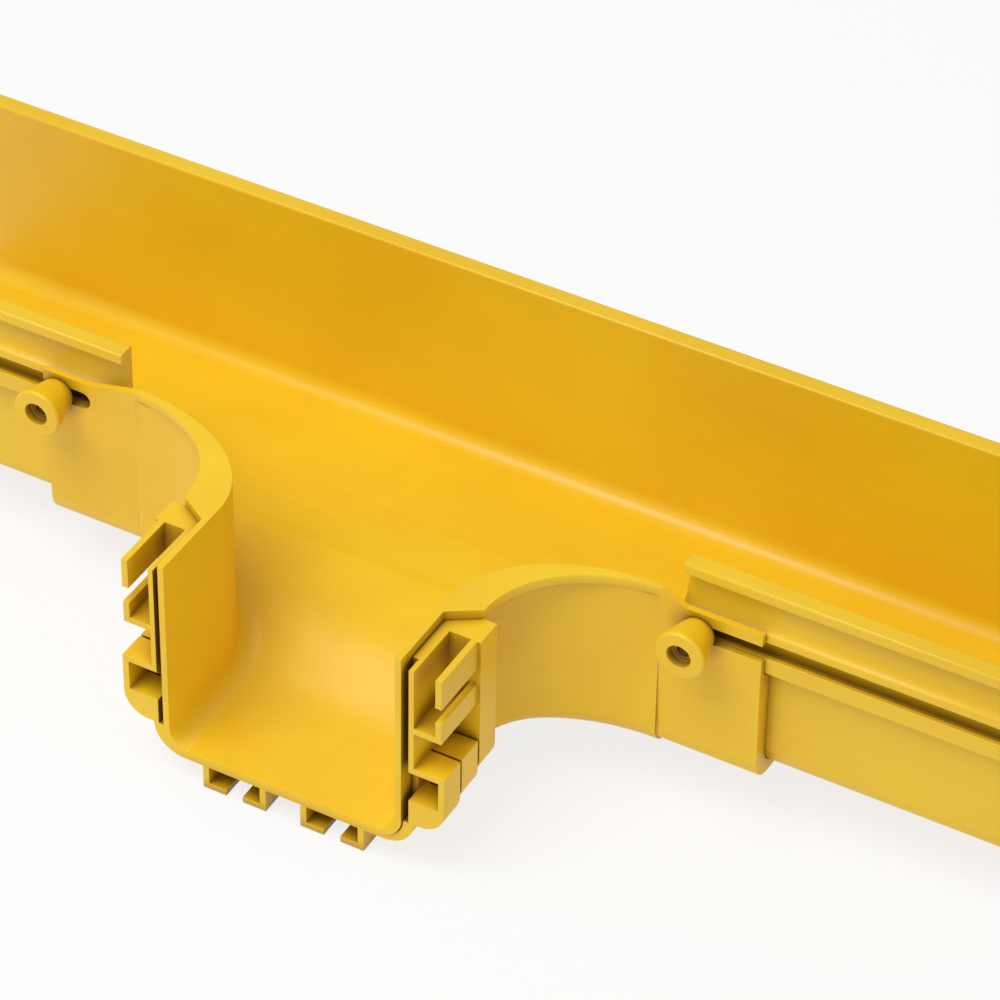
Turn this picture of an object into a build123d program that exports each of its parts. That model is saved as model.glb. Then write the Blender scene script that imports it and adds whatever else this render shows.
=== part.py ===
from build123d import *
import os

# Side exit of a fibre raceway. A straight trough has part of one wall cut away. A trumpet-shaped
# exit is clamped over the cut by two thumb knobs on T-bolts, and a joint collar sits on its spout.
# X runs along the trough, -Y out through the exit and +Z up. The origin is on the trough's
# underside, midway across the trough and on the centre plane of the exit. Sizes in millimetres.

# Trough section
trough_length = 600.0
trough_inner_width = 120.0
trough_height = 100.0
trough_wall = 2.5
trough_floor = 3.0
trough_inner_radius = 8.0
rail_depth = 8.5
rim_height = 5.0
rim_edge_radius = 1.2
neck_wall = 2.5
neck_height = 4.0
cove_height = 13.6
slot_opening = 8.5
slot_upper_lip = 3.0
slot_lower_lip = 8.0
slot_lip_thickness = 2.5
slot_lip_overlap = 2.5
rail_underside_slope = 5.0
cut_margin = 8.0

# Exit fitting
fit_clearance = 0.3
exit_inner_width = 110.0
exit_wall = 3.0
spout_length = 43.7
exit_drop = 13.0
wall_over_rail = 8.1
exit_inner_radius = 9.0
trumpet_along = 70.0
trumpet_out = 48.0
lip_width = 14.0
lip_height = 4.5
lip_tail = 10.0
ear_length = 47.0
flange_thickness = 3.0
flange_over_rail = 2.6
flange_under_rail = 6.9
flange_draft = 1.5
wrap_thickness = 4.0
wrap_setback = 2.0
tongue_thickness = 1.2
tongue_reach = 22.0
tongue_bevel = 6.0
tongue_tip = 0.4
left_fork_setback = 23.0
right_fork_setback = 12.0

# Joint collar on the spout
collar_fit = 0.4
sleeve_wall = 2.2
sleeve_side_wall = 5.0
groove_width = 2.6
groove_depth = 8.0
rail_out = 13.0
rail_wall = 3.0
rail_slot = 8.0
rail_slot_drop = 2.0
rail_end_setback = 1.0
side_rail_height = 34.0
lobe_count = 3
lobe_out = 14.6
lobe_gap = 1.2
lobe_rise = 12.0
lobe_drop = 4.0
lobe_radius = 12.0
lobe_share = 0.34  # of the collar's height above the trough's underside
socket_opening = 15.5
socket_depth = 24.0
bottom_rail_width = 31.0
bottom_rail_spacing = 48.0
bottom_rail_out = 12.0

# Thumb knobs on T-bolts
bolt_diameter = 6.0
bolt_head_play = 0.75
bolt_head_width = 8.0
bolt_head_back_play = 0.35
bolt_head_edge = 0.6
bolt_running_clearance = 0.05
bolt_end_depth = 2.0
bolt_head_clearance = 0.15
knob_front_diameter = 24.0
knob_base_diameter = 15.0
knob_length = 18.0
knob_edge_chamfer = 1.2
knob_recess_margin = 1.0
knob_recess_depth = 4.5
insert_wall = 1.5
insert_fit = 0.02
left_knob_along_ear = 39.0
right_knob_along_ear = 18.0

# Places worked out from the sizes above
inner_half = trough_inner_width / 2
wall_face = inner_half + trough_wall
rail_face = inner_half + rail_depth
trough_outer_radius = trough_inner_radius + trough_wall
rail_top = trough_height - rim_height - neck_height - cove_height
slot_top = rail_top - slot_upper_lip
slot_bottom = slot_top - slot_opening
slot_centre = (slot_top + slot_bottom) / 2
rail_bottom = slot_bottom - slot_lower_lip
slot_room = slot_opening + 2 * slot_lip_overlap
slot_depth = rail_depth - trough_wall - slot_lip_thickness
floor_edge = inner_half - trough_inner_radius

flange_back = rail_face + fit_clearance
flange_face = flange_back + flange_thickness
flange_top = rail_top + flange_over_rail
flange_band_bottom = rail_bottom - flange_under_rail
exit_wall_top = rail_top + wall_over_rail
spout_half = exit_inner_width / 2 + exit_wall
throat_half = spout_half + trumpet_along
cut_half = throat_half + cut_margin
flange_half = throat_half + ear_length
spout_start = flange_face + trumpet_out
mouth = spout_start + spout_length
exit_floor_top = -exit_drop
exit_bottom = exit_floor_top - exit_wall
wrap_bottom = -fit_clearance - wrap_thickness
tongue_bottom = trough_floor + fit_clearance
tongue_top = tongue_bottom + tongue_thickness
tongue_edge = floor_edge - tongue_reach
wrap_edge = tongue_edge + wrap_setback
exit_outer_radius = exit_inner_radius + exit_wall

os.makedirs("parts", exist_ok=True)


# Trough: one extruded section with a T-slot rail on both walls, and one wall cut for the exit
with BuildPart() as trough:
    with BuildSketch(Plane.YZ) as trough_section:
        with BuildLine() as trough_outline:
            Line((0, 0), (wall_face - trough_outer_radius, 0))
            RadiusArc(
                (wall_face - trough_outer_radius, 0),
                (wall_face, trough_outer_radius),
                -trough_outer_radius,
            )
            Polyline(
                (wall_face, trough_outer_radius),
                (wall_face, rail_bottom - rail_underside_slope),
                (rail_face, rail_bottom),
                (rail_face, rail_top),
            )
            EllipticalCenterArc(
                (rail_face, rail_top + cove_height),
                rail_face - inner_half - neck_wall,
                cove_height,
                start_angle=180,
                arc_size=90,
            )
            Polyline(
                (inner_half + neck_wall, rail_top + cove_height),
                (inner_half + neck_wall, trough_height - rim_height),
                (rail_face, trough_height - rim_height),
                (rail_face, trough_height),
                (inner_half, trough_height),
                (inner_half, trough_floor + trough_inner_radius),
            )
            RadiusArc(
                (inner_half, trough_floor + trough_inner_radius),
                (floor_edge, trough_floor),
                trough_inner_radius,
            )
            Line((floor_edge, trough_floor), (0, trough_floor))
            mirror(about=Plane.YZ)
        make_face()
        fillet(trough_section.vertices().group_by(Axis.Y)[-1], radius=rim_edge_radius)
        for side in (-1, 1):
            with Locations((side * (rail_face - slot_lip_thickness / 2), slot_centre)):
                Rectangle(slot_lip_thickness, slot_opening, mode=Mode.SUBTRACT)
            with Locations((side * (wall_face + slot_depth / 2), slot_centre)):
                Rectangle(slot_depth, slot_room, mode=Mode.SUBTRACT)
    extrude(amount=trough_length / 2, both=True)
    with BuildSketch(Plane.XY):
        with Locations((0, -(floor_edge + mouth) / 2)):
            Rectangle(2 * cut_half, mouth - floor_edge)
    extrude(amount=trough_height, mode=Mode.SUBTRACT)

trough.part.label = "trough"
export_step(trough.part, "parts/trough.step")


# Inside of the exit: the space that the trumpet, its ramp and its spout leave free
with BuildPart() as exit_space:
    with BuildSketch(Plane.XY.offset(exit_floor_top)):
        with BuildLine():
            Polyline((0, -tongue_edge), (throat_half, -tongue_edge), (throat_half, -flange_back))
            EllipticalCenterArc(
                (throat_half, -spout_start),
                trumpet_along + exit_wall,
                trumpet_out + exit_wall,
                start_angle=90,
                arc_size=90,
            )
            Polyline(
                (spout_half - exit_wall, -spout_start),
                (spout_half - exit_wall, -mouth - exit_wall),
                (0, -mouth - exit_wall),
            )
            mirror(about=Plane.YZ)
        make_face()
    extrude(amount=exit_wall_top - exit_floor_top + exit_wall)
    with BuildSketch(Plane.YZ):
        with BuildLine():
            Polyline(
                (-tongue_edge, tongue_bottom + tongue_tip),
                (-tongue_edge - tongue_bevel, tongue_top),
                (-flange_back, tongue_top),
            )
            Spline(
                (-flange_back, tongue_top),
                (-spout_start, exit_floor_top),
                tangents=((-1, 0), (-1, 0)),
            )
            Polyline(
                (-spout_start, exit_floor_top),
                (-spout_start, exit_floor_top - exit_wall),
                (-tongue_edge, exit_floor_top - exit_wall),
                (-tongue_edge, tongue_bottom + tongue_tip),
            )
        make_face()
    extrude(amount=throat_half + exit_wall, both=True, mode=Mode.SUBTRACT)
    ramp_edges = exit_space.edges().filter_by(GeomType.BSPLINE)
    spout_edges = exit_space.edges().filter_by(Axis.Y).group_by(Axis.Z)[0]
    fillet(ramp_edges + spout_edges, radius=exit_inner_radius)


# Exit: the trumpet and spout, the flanges that wrap the trough's wall, and the floor tongue
with BuildPart() as exit_body:
    with BuildSketch(Plane.XY.offset(exit_bottom)):
        with BuildLine():
            Polyline((0, -tongue_edge), (throat_half, -tongue_edge), (throat_half, -flange_face))
            EllipticalCenterArc(
                (throat_half, -spout_start),
                trumpet_along,
                trumpet_out,
                start_angle=90,
                arc_size=90,
            )
            Polyline((spout_half, -spout_start), (spout_half, -mouth), (0, -mouth))
            mirror(about=Plane.YZ)
        make_face()
    extrude(amount=exit_wall_top - exit_bottom)
    with BuildSketch(Plane.YZ):
        with BuildLine():
            Line((-tongue_edge, wrap_bottom), (-flange_face, wrap_bottom))
            Spline(
                (-flange_face, wrap_bottom),
                (-spout_start, exit_bottom),
                tangents=((-1, 0), (-1, 0)),
            )
            Polyline(
                (-spout_start, exit_bottom),
                (-spout_start, exit_bottom - exit_wall),
                (-tongue_edge, exit_bottom - exit_wall),
                (-tongue_edge, wrap_bottom),
            )
        make_face()
    extrude(amount=throat_half, both=True, mode=Mode.SUBTRACT)
    ramp_edges = exit_body.edges().filter_by(GeomType.BSPLINE)
    spout_edges = exit_body.edges().filter_by(Axis.Y).group_by(Axis.Z)[0]
    fillet(ramp_edges + spout_edges, radius=exit_outer_radius)
    add(exit_space.part, mode=Mode.SUBTRACT)

    # Room for the trough's floor between the tongue above it and the wrap below it
    with BuildSketch(Plane.YZ):
        with BuildLine():
            Polyline(
                (-floor_edge - fit_clearance, tongue_bottom),
                (-tongue_edge, tongue_bottom),
                (-tongue_edge, wrap_bottom),
                (-wrap_edge, wrap_bottom),
                (-wrap_edge, -fit_clearance),
                (-floor_edge - fit_clearance, -fit_clearance),
                close=True,
            )
        make_face()
    extrude(amount=throat_half, both=True, mode=Mode.SUBTRACT)

    for side in (-1, 1):
        # Flange that lies against the lower wall and goes round the trough's bottom corner
        with BuildSketch(Plane.YZ.offset(side * throat_half)):
            with BuildLine():
                Polyline(
                    (-flange_back, rail_bottom),
                    (-flange_back, flange_band_bottom + flange_thickness),
                    (-flange_face, flange_band_bottom),
                    (-flange_face + flange_draft, wrap_bottom + exit_outer_radius),
                )
                RadiusArc(
                    (-flange_face + flange_draft, wrap_bottom + exit_outer_radius),
                    (-flange_face + flange_draft + exit_outer_radius, wrap_bottom),
                    -exit_outer_radius,
                )
                Polyline(
                    (-flange_face + flange_draft + exit_outer_radius, wrap_bottom),
                    (-wrap_edge, wrap_bottom),
                    (-wrap_edge, -fit_clearance),
                    (-wall_face + trough_outer_radius, -fit_clearance),
                )
                RadiusArc(
                    (-wall_face + trough_outer_radius, -fit_clearance),
                    (-wall_face - fit_clearance, trough_outer_radius),
                    trough_outer_radius + fit_clearance,
                )
                Polyline(
                    (-wall_face - fit_clearance, trough_outer_radius),
                    (-wall_face - fit_clearance, rail_bottom - rail_underside_slope - fit_clearance),
                    (-flange_back, rail_bottom - fit_clearance),
                    (-flange_back, rail_bottom),
                )
            make_face()
        extrude(amount=side * ear_length)

        # Band over the rail, with a fork that the T-bolt slides into from the end
        fork_start = throat_half + (left_fork_setback if side < 0 else right_fork_setback)
        with BuildSketch(Plane.XZ.offset(flange_back)):
            with BuildLine():
                Polyline(
                    (side * throat_half, flange_band_bottom),
                    (side * flange_half, flange_band_bottom),
                    (side * flange_half, flange_top),
                    (side * fork_start, flange_top),
                    (side * throat_half, exit_wall_top),
                    close=True,
                )
            make_face()
        extrude(amount=flange_thickness)
        with BuildSketch(Plane.XZ.offset(flange_back)):
            with Locations((side * flange_half, slot_centre)):
                SlotOverall(2 * (flange_half - fork_start), slot_opening)
        extrude(amount=flange_thickness, mode=Mode.SUBTRACT)

        # Lip rolled outward along the trumpet's top edge
        with BuildSketch(Plane.XY.offset(exit_wall_top - lip_height)):
            with BuildLine():
                EllipticalCenterArc(
                    (side * throat_half, -spout_start),
                    trumpet_along - lip_width,
                    trumpet_out,
                    start_angle=90,
                    arc_size=side * 90,
                )
                Line(
                    (side * (spout_half + lip_width), -spout_start),
                    (side * (spout_half - exit_wall / 2), -spout_start - lip_tail),
                )
                Line(
                    (side * (spout_half - exit_wall / 2), -spout_start - lip_tail),
                    (side * (spout_half - exit_wall / 2), -spout_start),
                )
                EllipticalCenterArc(
                    (side * throat_half, -spout_start),
                    trumpet_along + exit_wall / 2,
                    trumpet_out + exit_wall / 2,
                    start_angle=90,
                    arc_size=side * 90,
                )
                Line(
                    (side * throat_half, -flange_face),
                    (side * throat_half, -flange_face + exit_wall / 2),
                )
            make_face()
        extrude(amount=lip_height)

exit_body.part.label = "exit_body"
export_step(exit_body.part, "parts/exit_body.step")


# Joint collar: a U-shaped sleeve on the spout. Its slotted rails and its sockets take the couplings
# of the raceway that joins on, and stepped lobes stiffen its sides.
collar_end = mouth - rail_end_setback
collar_top = exit_wall_top - lip_height - fit_clearance
sleeve_in = spout_half + collar_fit
sleeve_out = sleeve_in + sleeve_side_wall
sleeve_bottom = exit_bottom - collar_fit - sleeve_wall
sleeve_inner_radius = exit_outer_radius + collar_fit
rail_middle = sleeve_out + rail_out / 2
side_rail_z = collar_top - side_rail_height / 2
lobe_top = lobe_share * collar_top
last_lobe_bottom = exit_bottom + lobe_rise
lobe_length = (collar_end - spout_start - (lobe_count - 1) * lobe_gap) / lobe_count
groove_out = sleeve_in + groove_width
socket_width = sleeve_out + lobe_out - rail_wall - groove_out
socket_z = lobe_top - rail_wall - socket_opening / 2
bottom_rail_z = sleeve_bottom - bottom_rail_out / 2

with BuildPart() as joint_collar:
    # Sleeve and rails share one section along the spout
    with BuildSketch(Plane.XZ.offset(spout_start)) as collar_section:
        with Locations((0, (collar_top + sleeve_bottom) / 2)):
            Rectangle(2 * sleeve_out, collar_top - sleeve_bottom)
        fillet(
            collar_section.vertices().group_by(Axis.Y)[0],
            radius=sleeve_inner_radius + sleeve_wall,
        )
        for side in (-1, 1):
            with Locations((side * rail_middle, side_rail_z)):
                Rectangle(rail_out, side_rail_height)
            with Locations((side * rail_middle - side * rail_wall / 2, side_rail_z + rail_wall / 2)):
                Rectangle(
                    rail_out - rail_wall,
                    side_rail_height - rail_wall,
                    mode=Mode.SUBTRACT,
                )
            with Locations((side * rail_middle, side_rail_z - rail_slot_drop)):
                Rectangle(rail_out, rail_slot, mode=Mode.SUBTRACT)
            with Locations((side * bottom_rail_spacing / 2, bottom_rail_z)):
                Rectangle(bottom_rail_width, bottom_rail_out)
            with Locations((side * bottom_rail_spacing / 2, bottom_rail_z + rail_wall / 2)):
                Rectangle(
                    bottom_rail_width - 2 * rail_wall,
                    bottom_rail_out - rail_wall,
                    mode=Mode.SUBTRACT,
                )
            with Locations((side * bottom_rail_spacing / 2, bottom_rail_z)):
                Rectangle(rail_slot, bottom_rail_out, mode=Mode.SUBTRACT)
    extrude(amount=collar_end - spout_start)

    # Lobes at the sides, each a step lower than the one behind it. The rear ones close the rails.
    for side in (-1, 1):
        for lobe in range(lobe_count):
            top = collar_top if lobe == 0 else lobe_top
            bottom = last_lobe_bottom + (lobe_count - 1 - lobe) * lobe_drop
            with BuildSketch(Plane.XZ.offset(spout_start + lobe * (lobe_length + lobe_gap))) as lobe_section:
                with Locations((side * (sleeve_out + lobe_out / 2), (top + bottom) / 2)):
                    Rectangle(lobe_out, top - bottom)
                low_corners = lobe_section.vertices().group_by(Axis.Y)[0]
                fillet(low_corners.sort_by(Axis.X)[-1 if side > 0 else 0], radius=lobe_radius)
            extrude(amount=lobe_length)

    # A groove beside the spout and a socket in the front lobe, both open at the spout's end
    for side in (-1, 1):
        with BuildSketch(Plane.XZ.offset(collar_end)):
            with Locations((side * (sleeve_in + groove_width / 2), (collar_top + last_lobe_bottom) / 2)):
                Rectangle(groove_width, collar_top - last_lobe_bottom)
        extrude(amount=-groove_depth, mode=Mode.SUBTRACT)
        with BuildSketch(Plane.XZ.offset(collar_end)):
            with Locations((side * (groove_out + socket_width / 2), socket_z)):
                Rectangle(socket_width, socket_opening)
        extrude(amount=-socket_depth, mode=Mode.SUBTRACT)

    # Seat on the spout
    with BuildSketch(Plane.XZ.offset(spout_start)) as seat_section:
        with Locations((0, (collar_top + exit_bottom - collar_fit) / 2)):
            Rectangle(2 * sleeve_in, collar_top - exit_bottom + collar_fit)
        fillet(seat_section.vertices().group_by(Axis.Y)[0], radius=sleeve_inner_radius)
    extrude(amount=collar_end - spout_start, mode=Mode.SUBTRACT)

joint_collar.part.label = "joint_collar"
export_step(joint_collar.part, "parts/joint_collar.step")


# Thumb knobs: a tapered moulded knob with a threaded bush, turning on a T-bolt in the rail's slot
knob_base = flange_face + fit_clearance
knob_front = knob_base + knob_length
recess_floor = knob_front - knob_recess_depth
insert_diameter = bolt_diameter + 2 * insert_wall
knob_recess_diameter = insert_diameter + 2 * knob_recess_margin
head_outer = rail_face - slot_lip_thickness - bolt_head_clearance
bolt_head_length = slot_room - 2 * bolt_head_play
bolt_head_thickness = slot_depth - bolt_head_clearance - bolt_head_back_play
bolt_end = recess_floor - bolt_end_depth
left_knob_x = -throat_half - left_knob_along_ear
right_knob_x = throat_half + right_knob_along_ear

for name, knob_x in (("left", left_knob_x), ("right", right_knob_x)):
    bolt_axis = Axis((knob_x, 0, slot_centre), (0, -1, 0))

    with BuildPart() as knob:
        with BuildSketch(Plane.XY.offset(slot_centre)) as knob_section:
            with BuildLine():
                Polyline(
                    (knob_x + insert_diameter / 2, -knob_base),
                    (knob_x + knob_base_diameter / 2, -knob_base),
                    (knob_x + knob_front_diameter / 2, -knob_front),
                    (knob_x + knob_recess_diameter / 2, -knob_front),
                    (knob_x + knob_recess_diameter / 2, -recess_floor),
                    (knob_x + insert_diameter / 2, -recess_floor),
                    close=True,
                )
            make_face()
            outer_corner = knob_section.vertices().group_by(Axis.X)[-1]
            chamfer(outer_corner, length=knob_edge_chamfer)
        revolve(axis=bolt_axis)
    knob.part.label = f"knob_{name}"
    export_step(knob.part, f"parts/knob_{name}.step")

    with BuildPart() as bush:
        with BuildSketch(Plane.XZ.offset(knob_base)):
            with Locations((knob_x, slot_centre)):
                Circle(insert_diameter / 2 - insert_fit)
                Circle(bolt_diameter / 2 + bolt_running_clearance, mode=Mode.SUBTRACT)
        extrude(amount=recess_floor - knob_base)
    bush.part.label = f"bush_{name}"
    export_step(bush.part, f"parts/bush_{name}.step")

    with BuildPart() as bolt:
        with BuildSketch(Plane.XZ.offset(head_outer - bolt_head_thickness)):
            with Locations((knob_x, slot_centre)):
                Rectangle(bolt_head_width, bolt_head_length)
        extrude(amount=bolt_head_thickness)
        chamfer(bolt.edges().group_by(Axis.Y)[-1], length=bolt_head_edge)
        with BuildSketch(Plane.XZ.offset(head_outer)):
            with Locations((knob_x, slot_centre)):
                Circle(bolt_diameter / 2)
        extrude(amount=bolt_end - head_outer)
        chamfer(bolt.edges().group_by(Axis.Y)[0], length=bolt_head_edge)
    bolt.part.label = f"bolt_{name}"
    export_step(bolt.part, f"parts/bolt_{name}.step")
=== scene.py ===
import bpy
import math
import numpy as np
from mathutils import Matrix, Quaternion, Vector


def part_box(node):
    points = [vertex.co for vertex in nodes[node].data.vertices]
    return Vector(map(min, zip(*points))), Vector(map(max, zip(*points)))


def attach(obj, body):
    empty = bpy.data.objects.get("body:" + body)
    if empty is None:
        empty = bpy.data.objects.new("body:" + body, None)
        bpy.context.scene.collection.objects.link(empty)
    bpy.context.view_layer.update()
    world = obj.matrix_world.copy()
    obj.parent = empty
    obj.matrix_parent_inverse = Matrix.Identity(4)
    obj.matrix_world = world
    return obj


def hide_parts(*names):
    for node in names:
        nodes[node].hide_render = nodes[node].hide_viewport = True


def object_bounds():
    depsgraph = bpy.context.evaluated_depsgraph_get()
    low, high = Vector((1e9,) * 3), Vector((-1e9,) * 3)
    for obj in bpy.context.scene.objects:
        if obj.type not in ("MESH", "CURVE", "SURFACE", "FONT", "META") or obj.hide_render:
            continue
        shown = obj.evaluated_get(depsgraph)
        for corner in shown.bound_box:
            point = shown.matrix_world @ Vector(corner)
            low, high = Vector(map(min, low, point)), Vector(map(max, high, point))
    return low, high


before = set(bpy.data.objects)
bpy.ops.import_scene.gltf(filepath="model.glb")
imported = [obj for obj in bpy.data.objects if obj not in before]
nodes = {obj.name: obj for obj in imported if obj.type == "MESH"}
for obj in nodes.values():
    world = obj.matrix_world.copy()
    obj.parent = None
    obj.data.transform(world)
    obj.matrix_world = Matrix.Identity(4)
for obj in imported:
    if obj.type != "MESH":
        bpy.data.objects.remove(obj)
cad_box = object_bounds()


# Trough. An open U of yellow PVC with a T-slot rail along each wall, drawn through a die and sawn to
# length. The saw has also taken a window out of the near wall for the exit.
def linear(hex_colour):
    """sRGB hex such as "#F1C01A" as linear red, green, blue and alpha, each channel freed of its curve."""
    channels = np.array([int(hex_colour[i:i + 2], 16) for i in (1, 3, 5)]) / 255
    dark = channels / 12.92
    light = ((channels + 0.055) / 1.055) ** 2.4
    return (*np.where(channels <= 0.04045, dark, light).tolist(), 1.0)


def add_node(material, kind, settings, links):
    """Adds one node, with settings for its inputs and attributes, and links from sockets to its inputs.

    Inputs go by name or number. A Mix node's inputs 6 and 7 are its two colours, and 2 and 3 its two values.
    Its outputs 2 and 0 are the mixed colour and the mixed value."""
    node = material.node_tree.nodes.new(kind)
    for name, value in settings.items():
        if isinstance(name, str) and hasattr(node, name):
            setattr(node, name, value)
        else:
            node.inputs[name].default_value = value
    for name, socket in links.items():
        material.node_tree.links.new(socket, node.inputs[name])
    return node


def new_material(name):
    """A new node material with its shader and its Object coordinates, which are the part's own metres."""
    material = bpy.data.materials.new(name)
    material.use_nodes = True
    shader = material.node_tree.nodes["Principled BSDF"]
    place = add_node(material, "ShaderNodeTexCoord", {}, {}).outputs["Object"]
    return material, shader, place


def finish_shader(material, shader, wires):
    """Links sockets to the shader's inputs by name."""
    for name, socket in wires.items():
        material.node_tree.links.new(socket, shader.inputs[name])


def dress(names, material, edge_radius):
    """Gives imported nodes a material, and rounds their sharp edges as a die, a mould or a lathe leaves them."""
    same_point = 0.00001
    sharp_edge = math.radians(35.0)
    for name in names:
        node = nodes[name]
        node.data.materials.clear()
        node.data.materials.append(material)
        weld = node.modifiers.new("join_triangles", "WELD")
        weld.merge_threshold = same_point
        bevel = node.modifiers.new("round_edges", "BEVEL")
        bevel.width = edge_radius
        bevel.segments = 2
        bevel.limit_method = "ANGLE"
        bevel.angle_limit = sharp_edge
        bevel.use_clamp_overlap = False
        bevel.harden_normals = True


# Extruded PVC, satin. The die leaves faint lines along the length, so gloss and shade vary across the
# walls but hardly along them. The lines are 2 mm apart, coarser than real ones, so that they show.
# Where the saw has cut across, the face is paler and rougher, with scratches along the blade's path.
# Slots narrower than a finger get painted shade, a deeper and browner yellow, because soft light
# alone leaves them too pale.
die_line = 0.002
die_run = 0.3
die_line_share = 0.35
cloud_size = 0.09
saw_scratch = 0.0006
saw_run = 0.03
saw_slant = math.radians(65.0)
sawn_roughness = 0.68
slot_shade_reach = 0.012
pvc, shader, place = new_material("extruded_pvc_satin")
shader.inputs["IOR"].default_value = 1.53
stretch = add_node(pvc, "ShaderNodeMapping", {"Scale": (1 / die_run, 1 / die_line, 1 / die_line)},
                   {"Vector": place})
lines = add_node(pvc, "ShaderNodeTexNoise", {"Scale": 1.0, "Detail": 3.0, "Roughness": 0.6},
                 {"Vector": stretch.outputs["Vector"]})
clouds = add_node(pvc, "ShaderNodeTexNoise", {"Scale": 1 / cloud_size, "Detail": 2.0}, {"Vector": place})
streaks = add_node(pvc, "ShaderNodeMath", {"operation": "MULTIPLY_ADD", 1: die_line_share},
                   {0: lines.outputs["Fac"], 2: clouds.outputs["Fac"]})
shade = add_node(pvc, "ShaderNodeMapRange", {"From Min": 0.45, "From Max": 0.9},
                 {"Value": streaks.outputs["Value"]})
skin = add_node(pvc, "ShaderNodeMix", {"data_type": "RGBA", 6: linear("#EEBF1A"), 7: linear("#F5CB1F")},
                {"Factor": shade.outputs["Result"]})
slant = add_node(pvc, "ShaderNodeMapping",
                 {"Rotation": (saw_slant, 0.0, 0.0), "Scale": (1 / saw_run, 1 / saw_scratch, 1 / saw_run)},
                 {"Vector": place})
scratches = add_node(pvc, "ShaderNodeTexNoise", {"Scale": 1.0, "Detail": 3.0, "Roughness": 0.7},
                     {"Vector": slant.outputs["Vector"]})
surface = add_node(pvc, "ShaderNodeNewGeometry", {}, {})
facing = add_node(pvc, "ShaderNodeSeparateXYZ", {}, {"Vector": surface.outputs["Normal"]})
across = add_node(pvc, "ShaderNodeMath", {"operation": "ABSOLUTE"}, {0: facing.outputs["X"]})
sawn = add_node(pvc, "ShaderNodeMapRange", {"From Min": 0.85, "From Max": 0.95},
                {"Value": across.outputs["Value"]})
sawn_colour = add_node(pvc, "ShaderNodeMix",
                       {"data_type": "RGBA", 6: linear("#EFC02E"), 7: linear("#F8D75A")},
                       {"Factor": scratches.outputs["Fac"]})
open_colour = add_node(pvc, "ShaderNodeMix", {"data_type": "RGBA"},
                       {"Factor": sawn.outputs["Result"], 6: skin.outputs[2], 7: sawn_colour.outputs[2]})
# Painted shade: where ambient occlusion within 12 mm is low, the colour goes towards a dark brown yellow.
painted_shade_ao = add_node(pvc, "ShaderNodeAmbientOcclusion", {"Distance": slot_shade_reach, "samples": 8}, {})
painted_shade_openness = add_node(pvc, "ShaderNodeMapRange", {"From Min": 0.2, "From Max": 0.75},
                    {"Value": painted_shade_ao.outputs["AO"]})
colour = add_node(pvc, "ShaderNodeMix", {"data_type": "RGBA", 6: linear("#9A6C08")},
                  {"Factor": painted_shade_openness.outputs["Result"], 7: open_colour.outputs[2]})
skin_gloss = add_node(pvc, "ShaderNodeMapRange", {"To Min": 0.36, "To Max": 0.48},
                      {"Value": lines.outputs["Fac"]})
gloss = add_node(pvc, "ShaderNodeMix", {"data_type": "FLOAT", 3: sawn_roughness},
                 {"Factor": sawn.outputs["Result"], 2: skin_gloss.outputs["Result"]})
height = add_node(pvc, "ShaderNodeMix", {"data_type": "FLOAT"},
                  {"Factor": sawn.outputs["Result"], 2: lines.outputs["Fac"], 3: scratches.outputs["Fac"]})
relief = add_node(pvc, "ShaderNodeBump", {"Strength": 0.2, "Distance": 0.0001}, {"Height": height.outputs[0]})
finish_shader(pvc, shader, {"Base Color": colour.outputs[2], "Roughness": gloss.outputs[0],
                            "Normal": relief.outputs["Normal"]})
dress(["trough"], pvc, edge_radius=0.0003)


# Exit. One moulding of yellow ABS: a trumpet that spreads the cables' bend, a ramp down into the spout,
# flanges that hook round the trough's wall, and a thin tongue that lies on the trough's floor.

# Moulded ABS from a spark-eroded mould, satin. The grain is 0.9 mm, coarser than the real grit, so that
# it shows, and wide clouds are the flow marks of a large moulding. Narrow recesses get painted shade, a
# deeper and browner yellow, as in the PVC.
spark_grain = 0.0009
flow_size = 0.06
recess_shade_reach = 0.012
abs_plastic, shader, place = new_material("moulded_abs_spark_grain")
shader.inputs["IOR"].default_value = 1.54
grain = add_node(abs_plastic, "ShaderNodeTexNoise", {"Scale": 1 / spark_grain, "Detail": 2.0},
                 {"Vector": place})
flow = add_node(abs_plastic, "ShaderNodeTexNoise", {"Scale": 1 / flow_size, "Detail": 2.0, "Distortion": 0.6},
                {"Vector": place})
shade = add_node(abs_plastic, "ShaderNodeMapRange", {"From Min": 0.3, "From Max": 0.7},
                 {"Value": flow.outputs["Fac"]})
skin = add_node(abs_plastic, "ShaderNodeMix",
                {"data_type": "RGBA", 6: linear("#F3C318"), 7: linear("#FACE1D")},
                {"Factor": shade.outputs["Result"]})
# Painted shade: where ambient occlusion within 12 mm is low, the colour goes towards a dark brown yellow.
painted_shade_ao = add_node(abs_plastic, "ShaderNodeAmbientOcclusion", {"Distance": recess_shade_reach, "samples": 8}, {})
painted_shade_openness = add_node(abs_plastic, "ShaderNodeMapRange", {"From Min": 0.25, "From Max": 0.85},
                    {"Value": painted_shade_ao.outputs["AO"]})
colour = add_node(abs_plastic, "ShaderNodeMix", {"data_type": "RGBA", 6: linear("#865E08")},
                  {"Factor": painted_shade_openness.outputs["Result"], 7: skin.outputs[2]})
gloss = add_node(abs_plastic, "ShaderNodeMapRange", {"To Min": 0.4, "To Max": 0.52},
                 {"Value": grain.outputs["Fac"]})
relief = add_node(abs_plastic, "ShaderNodeBump", {"Strength": 0.12, "Distance": 0.0001},
                  {"Height": grain.outputs["Fac"]})
finish_shader(abs_plastic, shader, {"Base Color": colour.outputs[2], "Roughness": gloss.outputs["Result"],
                                    "Normal": relief.outputs["Normal"]})
dress(["exit_body"], abs_plastic, edge_radius=0.00018)


# Joint collar. A second ABS moulding pushed on the spout, with slotted rails, stepped side lobes and
# sockets that the next raceway's coupling grips.
dress(["joint_collar"], abs_plastic, edge_radius=0.0002)


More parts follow.
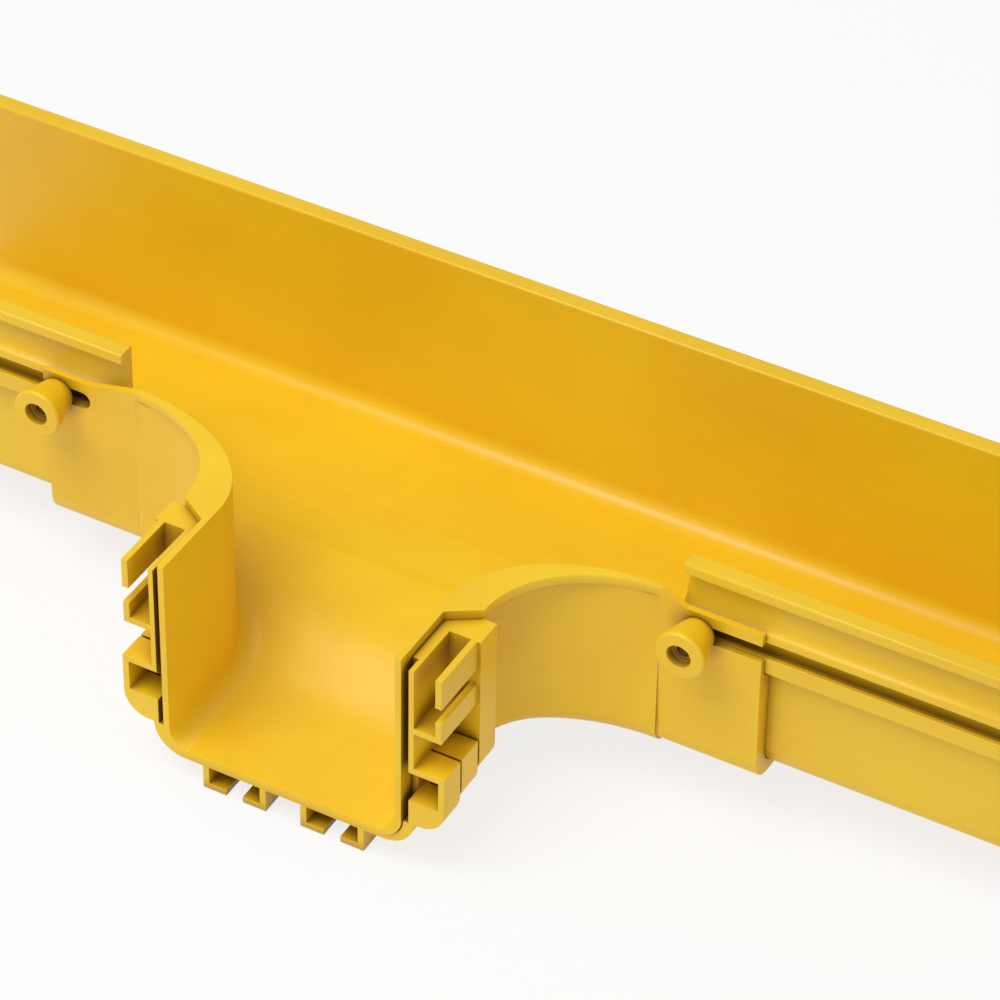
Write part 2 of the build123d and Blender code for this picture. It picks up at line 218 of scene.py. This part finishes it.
# Thumb knobs. Tapered ABS knobs with a round recess in the face, moulded round a brass bush. Turned by
# hand on the T-bolts, they clamp the exit's flanges to the trough's rail.
dress(["knob_left", "knob_right"], abs_plastic, edge_radius=0.0004)


# Bushes. Threaded brass inserts, turned on a lathe and held by the plastic of the knobs, which is
# moulded round them.

# Turned brass, left bare. Bright and dull specks 0.4 mm across break up its shine.
tarnish_speck = 0.0004
brass, shader, place = new_material("turned_brass")
shader.inputs["Metallic"].default_value = 1.0
tarnish = add_node(brass, "ShaderNodeTexNoise", {"Scale": 1 / tarnish_speck, "Detail": 2.0}, {"Vector": place})
colour = add_node(brass, "ShaderNodeMix", {"data_type": "RGBA", 6: linear("#A9843F"), 7: linear("#D0AC62")},
                  {"Factor": tarnish.outputs["Fac"]})
gloss = add_node(brass, "ShaderNodeMapRange", {"To Min": 0.28, "To Max": 0.42},
                 {"Value": tarnish.outputs["Fac"]})
finish_shader(brass, shader, {"Base Color": colour.outputs[2], "Roughness": gloss.outputs["Result"]})
dress(["bush_left", "bush_right"], brass, edge_radius=0.0001)


# T-bolts. Zinc-plated steel: a flat head forged to an oblong, which slides in the rail, and a shank with
# a rolled M6 thread that the knob's bush runs on.
def t_bolt(low, high, around, rings_per_turn):
    """A closed bolt in the box from low to high, as rings of points round an axis along -Y.

    On the head a ring's radius at angle a is (|sin a / w|^5 + |cos a / l|^5)^(-1/5), a rounded
    oblong of half width w and half length l. On the shank it is root + depth * ridge, where ridge is a
    flattened triangle wave of (length along the shank / pitch - a / full turn), which is a helix."""
    pitch, shank_radius, thread_depth = 0.001, 0.003, 0.0006
    ridge_slope, ridge_drop = 1.6, 0.3
    head_thickness, head_edge, head_squareness = 0.003, 0.0006, 5
    middle_x, middle_z = (low[0] + high[0]) / 2, (low[2] + high[2]) / 2
    half_width, half_length = (high[0] - low[0]) / 2, (high[2] - low[2]) / 2
    angle = np.arange(around) * 2 * np.pi / around
    oblong = (np.abs(np.sin(angle) / half_width) ** head_squareness
              + np.abs(np.cos(angle) / half_length) ** head_squareness) ** (-1 / head_squareness)
    shank_end = high[1] - low[1]
    steps = int((shank_end - head_thickness) / pitch * rings_per_turn)
    run = np.linspace(head_thickness, shank_end - thread_depth, steps)
    phase = (run[:, None] / pitch - angle[None, :] / (2 * np.pi)) % 1.0
    ridge = np.clip(ridge_slope * np.abs(2 * phase - 1) - ridge_drop, 0.0, 1.0)
    thread = shank_radius - thread_depth * (1 - ridge)
    head_depths = [0.0, head_edge, head_thickness - head_edge, head_thickness]
    depth = np.concatenate([head_depths, run, [shank_end]])
    radius = np.vstack([oblong - head_edge, oblong, oblong, oblong - head_edge, thread,
                        np.full(around, shank_radius - 2 * thread_depth)])
    along = np.broadcast_to(high[1] - depth[:, None], radius.shape)
    points = np.stack([middle_x + radius * np.sin(angle), along, middle_z + radius * np.cos(angle)], axis=-1)
    ring, spot = np.meshgrid(np.arange(len(depth) - 1), np.arange(around), indexing="ij")
    here, beside = ring * around + spot, ring * around + (spot + 1) % around
    sides = np.stack([here, here + around, beside + around, beside], axis=-1).reshape(-1, 4)
    back = np.arange(around)
    end = (len(depth) - 1) * around + np.arange(around)[::-1]
    return points.reshape(-1, 3), sides.tolist() + [back.tolist(), end.tolist()]


# Zinc plate, bright. A thin grey skin on steel, a little bluish, with soft spangle 1.2 mm across.
spangle_size = 0.0012
steel, shader, place = new_material("zinc_plated_steel")
shader.inputs["Metallic"].default_value = 1.0
spangle = add_node(steel, "ShaderNodeTexNoise", {"Scale": 1 / spangle_size, "Detail": 3.0}, {"Vector": place})
colour = add_node(steel, "ShaderNodeMix", {"data_type": "RGBA", 6: linear("#A8ABAF"), 7: linear("#C6C8CA")},
                  {"Factor": spangle.outputs["Fac"]})
gloss = add_node(steel, "ShaderNodeMapRange", {"To Min": 0.25, "To Max": 0.45},
                 {"Value": spangle.outputs["Fac"]})
finish_shader(steel, shader, {"Base Color": colour.outputs[2], "Roughness": gloss.outputs["Result"]})
for side in ("left", "right"):
    points, faces = t_bolt(*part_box(f"bolt_{side}"), around=48, rings_per_turn=10)
    mesh = bpy.data.meshes.new(f"t_bolt_{side}")
    mesh.from_pydata(points.tolist(), [], faces)
    mesh.materials.append(steel)
    bolt = bpy.data.objects.new(f"t_bolt_{side}", mesh)
    bpy.context.scene.collection.objects.link(bolt)
    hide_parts(f"bolt_{side}")
    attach(bolt, f"{side}_bolt")


# Studio. A plain white floor that the camera sees almost shadeless, with the object's own shadow left
# faint on it, one large soft lamp above, left and in front, and a white surround as fill.
floor_gap = 0.0005
floor_level = cad_box[0][2] - floor_gap
floor_half = 6.0
floor_glow_share = 0.8
floor_mesh = bpy.data.meshes.new("floor")
floor_mesh.from_pydata(
    [(-floor_half, -floor_half, floor_level), (floor_half, -floor_half, floor_level),
     (floor_half, floor_half, floor_level), (-floor_half, floor_half, floor_level)],
    [], [(0, 1, 2, 3)],
)
floor = bpy.data.objects.new("floor", floor_mesh)
bpy.context.scene.collection.objects.link(floor)
paper, shader, _ = new_material("white_paper_floor")
shader.inputs["Base Color"].default_value = linear("#F6F6F6")
shader.inputs["Roughness"].default_value = 0.9
shader.inputs["Specular IOR Level"].default_value = 0.1
light_path = add_node(paper, "ShaderNodeLightPath", {}, {})
seen_glossy = add_node(paper, "ShaderNodeMath", {"operation": "MAXIMUM"},
                       {0: light_path.outputs["Is Camera Ray"], 1: light_path.outputs["Is Glossy Ray"]})
seen = add_node(paper, "ShaderNodeMath", {"operation": "MAXIMUM"},
                {0: seen_glossy.outputs["Value"], 1: light_path.outputs["Is Transmission Ray"]})
share = add_node(paper, "ShaderNodeMath", {"operation": "MULTIPLY", 1: floor_glow_share},
                 {0: seen.outputs["Value"]})
glow = add_node(paper, "ShaderNodeEmission", {"Strength": 1.0}, {})
blend = add_node(paper, "ShaderNodeMixShader", {},
                 {0: share.outputs["Value"], 1: shader.outputs["BSDF"], 2: glow.outputs["Emission"]})
output = paper.node_tree.nodes["Material Output"]
paper.node_tree.links.new(blend.outputs["Shader"], output.inputs["Surface"])
floor_mesh.materials.append(paper)

world = bpy.data.worlds.new("studio_surround")
bpy.context.scene.world = world
world.use_nodes = True
surround = world.node_tree.nodes["Background"]
surround.inputs["Color"].default_value = (1.0, 1.0, 1.0, 1.0)
surround.inputs["Strength"].default_value = 0.48

key_place = Vector((-0.4, -0.95, 2.25))
key_light = bpy.data.lights.new("key_lamp", "AREA")
key_light.size = 1.4
key_light.energy = 36.0
key_lamp = bpy.data.objects.new("key_lamp", key_light)
key_lamp.location = key_place
key_lamp.rotation_euler = (-key_place).to_track_quat("-Z", "Y").to_euler()
bpy.context.scene.collection.objects.link(key_lamp)

# Camera. A long lens from the right and above, turned by one degree about its own axis, so that it needs
# no shift.
azimuth = math.radians(28.5657)
elevation = math.radians(39.777)
tilt = math.radians(1.0692)
distance = 2.07024
aim = Vector((0.01417, -0.00225, 0.035))
level = math.cos(elevation)
away = Vector((math.sin(azimuth) * level, -math.cos(azimuth) * level, math.sin(elevation)))
lens = bpy.data.cameras.new("camera")
lens.sensor_width = 36.0
lens.lens = 171.36
lens.clip_end = 50.0
camera = bpy.data.objects.new("camera", lens)
camera.location = aim + away * distance
camera.rotation_euler = ((-away).to_track_quat("-Z", "Y") @ Quaternion((0.0, 0.0, 1.0), tilt)).to_euler()
bpy.context.scene.collection.objects.link(camera)
bpy.context.scene.camera = camera
bpy.context.scene.view_settings.view_transform = "Standard"
